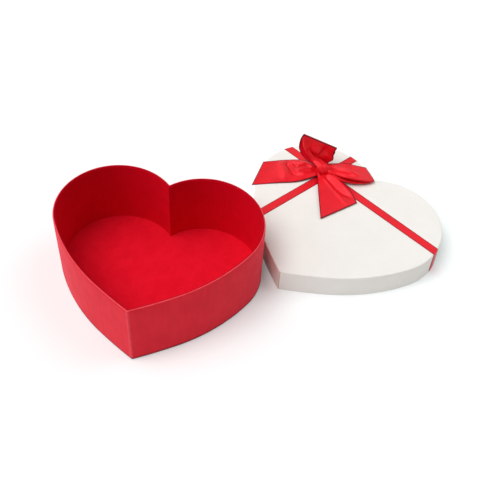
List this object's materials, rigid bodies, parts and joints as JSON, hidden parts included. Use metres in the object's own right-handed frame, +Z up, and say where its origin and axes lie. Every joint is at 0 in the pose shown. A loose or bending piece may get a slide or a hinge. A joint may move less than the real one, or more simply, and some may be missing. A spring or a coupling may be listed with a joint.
{
  "type": "heart-shaped gift box",
  "caption": "Open heart-shaped gift box in red suede paper, with its white lift-off lid beside it, tied with crossed satin ribbon and a bow.",
  "frame": {"origin": "on the underside of the box, on the heart's centre line, 18 mm in front of the line through the two lobe centres", "axes": "+Z up, +Y from the heart's point towards its cleft, +X to the right; the lid lies beside the box at +X +Y"},
  "size_m": [0.3709, 0.2924, 0.075],
  "materials": {
    "red_suede_outside": "matte red suede paper",
    "red_suede_inside": "matte red suede paper, short nap",
    "red_backing_paper": "smooth matte red paper",
    "grey_board": "raw grey board",
    "paper_tape": "buff gummed paper tape",
    "white_paper": "matte off-white paper, fine tooth",
    "satin_band": "red satin ribbon, narrow",
    "satin_bow": "red satin ribbon, wide"
  },
  "bodies": {
    "box": {"base_wall_board_left": "grey_board", "base_wall_board_right": "grey_board", "base_stay_tape_cleft": "paper_tape", "base_stay_tape_point": "paper_tape", "base_floor_board": "grey_board", "base_wall_wrap": "red_suede_outside", "base_wall_lining": "red_suede_inside", "base_floor_lining": "red_suede_inside", "base_underside_paper": "red_backing_paper"},
    "lid": {"lid_top_board": "grey_board", "lid_rim_board_left": "grey_board", "lid_rim_board_right": "grey_board", "lid_stay_tape_cleft": "paper_tape", "lid_stay_tape_point": "paper_tape", "lid_rim_wrap": "white_paper", "lid_top_paper": "white_paper", "lid_top_lining": "white_paper", "lid_rim_lining": "white_paper", "ribbon_band_across": "satin_band", "ribbon_band_along": "satin_band", "bow_knot": "satin_bow", "bow_loop_upright": "satin_bow", "bow_loop_right": "satin_bow", "bow_tail_left": "satin_bow", "bow_tail_right": "satin_bow"}
  },
  "joints": [
    {"name": "lid_lift", "type": "slide", "parent": "box", "child": "lid", "axis": [0, 0, 1], "range_m": [0, 0.12]}
  ]
}
